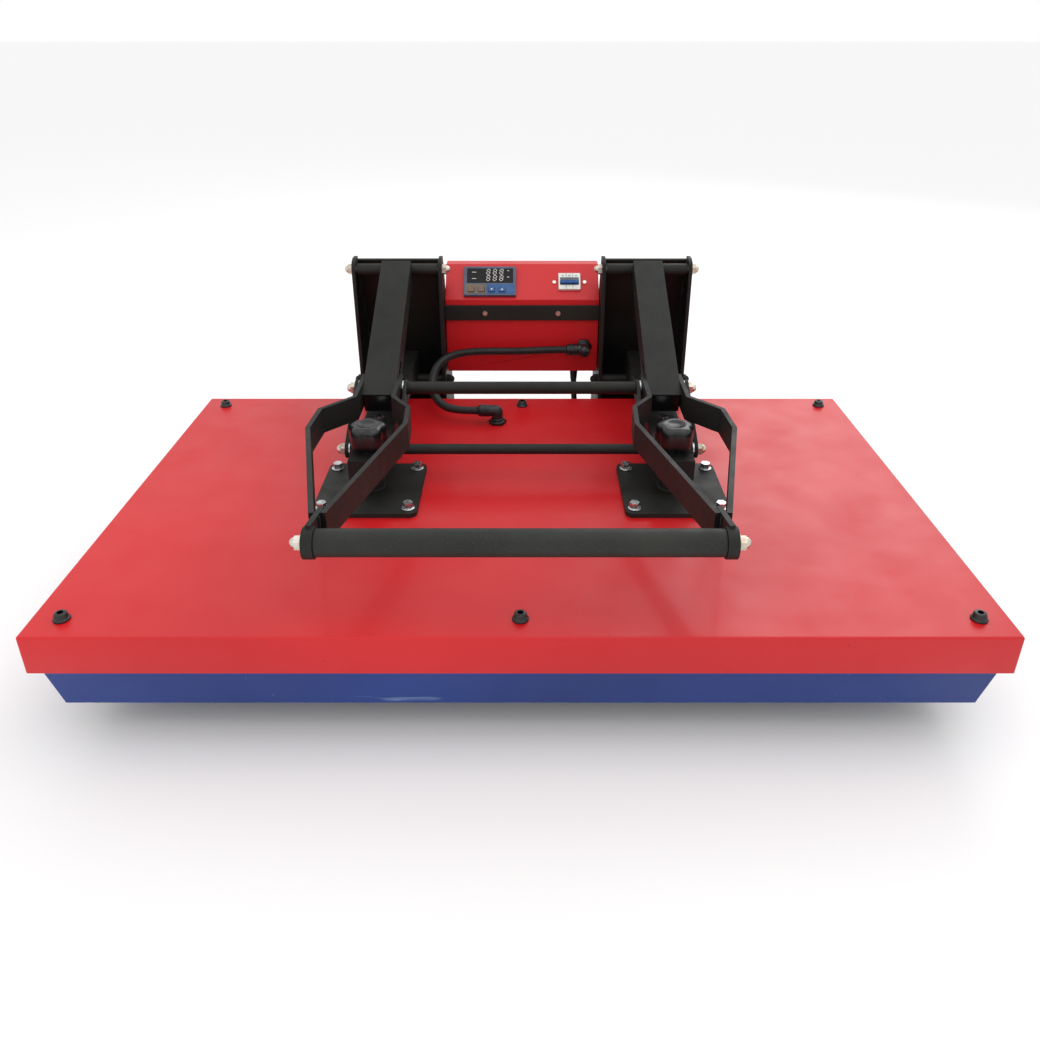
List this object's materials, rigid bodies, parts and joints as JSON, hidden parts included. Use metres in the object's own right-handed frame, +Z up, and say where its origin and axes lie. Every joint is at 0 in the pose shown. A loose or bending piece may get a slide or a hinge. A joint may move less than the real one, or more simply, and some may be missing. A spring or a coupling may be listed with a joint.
{
  "type": "large-format clamshell heat press",
  "caption": "Clamshell heat press with a wide red heated platen over a blue bed, toggle-linked lever arms with a cross handle, pressure knobs and a rear control box.",
  "frame": {"origin": "centre of the footprint, at the underside of the feet", "axes": "+Z up, +Y from the handle towards the hinges and control box, +X to the operator's right"},
  "size_m": [1.03, 0.936, 0.372],
  "materials": {
    "red_paint": "semi-gloss red enamel",
    "blue_paint": "satin dark blue enamel",
    "black_coat": "black powder coat, fine texture",
    "raw_steel": "plain steel",
    "zinc_steel": "yellow passivated zinc plate",
    "bright_steel": "bright zinc plate",
    "plate_alu": "machined and coated",
    "heater_metal": "matt heater sheath",
    "black_rubber": "matt moulded rubber",
    "grip_foam": "matt ribbed sleeve",
    "silicone": "matt light grey silicone",
    "mineral_wool": "matt fibrous felt",
    "black_plastic": "fine grained moulding",
    "case_plastic": "satin blue-grey moulding",
    "display_glass": "smoked display window",
    "button_plastic": "satin moulded key",
    "white_plastic": "white switch moulding",
    "blue_plastic": "blue toggle moulding",
    "cable_black": "flexible cable jacket"
  },
  "bodies": {
    "base": {"base_frame": "black_coat", "rubber_feet": "black_rubber", "bed_tray": "blue_paint", "bed_ribs": "raw_steel", "silicone_pad": "silicone", "tower_backs": "black_coat", "tower_foot_plates": "black_coat", "tower_side_plates": "black_coat", "upper_pivot_bolts": "zinc_steel", "hinge_bolts": "black_coat", "control_box": "red_paint", "box_back_panel": "red_paint", "box_strap": "black_coat", "controller_case": "case_plastic", "controller_display": "display_glass", "breaker_body": "white_plastic", "box_screws": "zinc_steel", "power_relay": "black_plastic", "elbow_box_end": "black_plastic", "conduit": "cable_black", "cord_gland": "black_plastic", "mains_cord": "cable_black", "cord_coil": "cable_black", "mains_plug": "black_plastic"},
    "platen": {"lower_arms": "black_coat", "hinge_legs": "black_coat", "base_plates": "black_coat", "screw_sockets": "black_coat", "hex_bolts": "bright_steel", "platen_cover": "red_paint", "cover_caps": "black_plastic", "heating_plate": "plate_alu", "heater_rods": "heater_metal", "insulation_wool": "mineral_wool", "plate_spacers": "raw_steel", "elbow_cover_end": "black_plastic"},
    "handle_frame": {"upper_arms": "black_coat", "arm_end_caps": "black_plastic", "arm_sleeves": "black_coat", "fork_tines": "black_coat", "handle_eyes": "black_coat", "handle_rod": "bright_steel", "handle_nuts": "zinc_steel"},
    "links": {"link_plates": "black_coat", "upper_cross_tube": "black_coat", "lower_cross_tube": "black_coat", "link_shafts": "bright_steel", "link_nuts": "zinc_steel", "link_washers": "bright_steel"},
    "grip": {"handle_grip": "grip_foam"},
    "knob_left": {"star_knob_left": "black_plastic", "pressure_screw_left": "bright_steel"},
    "knob_right": {"star_knob_right": "black_plastic", "pressure_screw_right": "bright_steel"},
    "toggle": {"breaker_toggle": "blue_plastic"},
    "key_set": {"button_set": "button_plastic"},
    "key_shift": {"button_shift": "button_plastic"},
    "key_down": {"button_down": "button_plastic"},
    "key_up": {"button_up": "button_plastic"}
  },
  "joints": [
    {"name": "platen_hinge", "type": "hinge", "parent": "base", "child": "platen", "pos_m": [0, 0.268, 0.165], "axis": [-1, 0, 0], "range_deg": [0, 42], "deforming": ["conduit"]},
    {"name": "upper_arm_hinge", "type": "hinge", "parent": "base", "child": "handle_frame", "pos_m": [0, 0.262, 0.355], "axis": [-1, 0, 0], "range_deg": [0, 70.2]},
    {"name": "link_hinge", "type": "hinge", "parent": "platen", "child": "links", "pos_m": [0, -0.064, 0.195], "axis": [-1, 0, 0], "range_deg": [-73.5, 0]},
    {"name": "grip_roll", "type": "hinge", "parent": "handle_frame", "child": "grip", "pos_m": [0, -0.368, 0.238], "axis": [1, 0, 0], "continuous": true},
    {"name": "knob_left_turn", "type": "hinge", "parent": "platen", "child": "knob_left", "pos_m": [-0.199, -0.095, 0.2], "axis": [0, 0, 1], "range_deg": [-720, 720]},
    {"name": "knob_right_turn", "type": "hinge", "parent": "platen", "child": "knob_right", "pos_m": [0.199, -0.095, 0.2], "axis": [0, 0, 1], "range_deg": [-720, 720]},
    {"name": "toggle_tilt", "type": "hinge", "parent": "base", "child": "toggle", "pos_m": [0.078, 0.30081, 0.32346], "axis": [1, 0, 0], "range_deg": [-50, 0]},
    {"name": "key_set_press", "type": "slide", "parent": "base", "child": "key_set", "axis": [0, 0.6996, -0.7145], "range_m": [0, 0.0012], "stiffness_N_per_m": 400, "springref_m": -0.0004},
    {"name": "key_shift_press", "type": "slide", "parent": "base", "child": "key_shift", "axis": [0, 0.6996, -0.7145], "range_m": [0, 0.0012], "stiffness_N_per_m": 400, "springref_m": -0.0004},
    {"name": "key_down_press", "type": "slide", "parent": "base", "child": "key_down", "axis": [0, 0.6996, -0.7145], "range_m": [0, 0.0012], "stiffness_N_per_m": 400, "springref_m": -0.0004},
    {"name": "key_up_press", "type": "slide", "parent": "base", "child": "key_up", "axis": [0, 0.6996, -0.7145], "range_m": [0, 0.0012], "stiffness_N_per_m": 400, "springref_m": -0.0004}
  ],
  "couplings": [
    {"joint": "upper_arm_hinge", "follows": "platen_hinge", "ratio": 1.669},
    {"joint": "link_hinge", "follows": "platen_hinge", "ratio": -1.746}
  ]
}
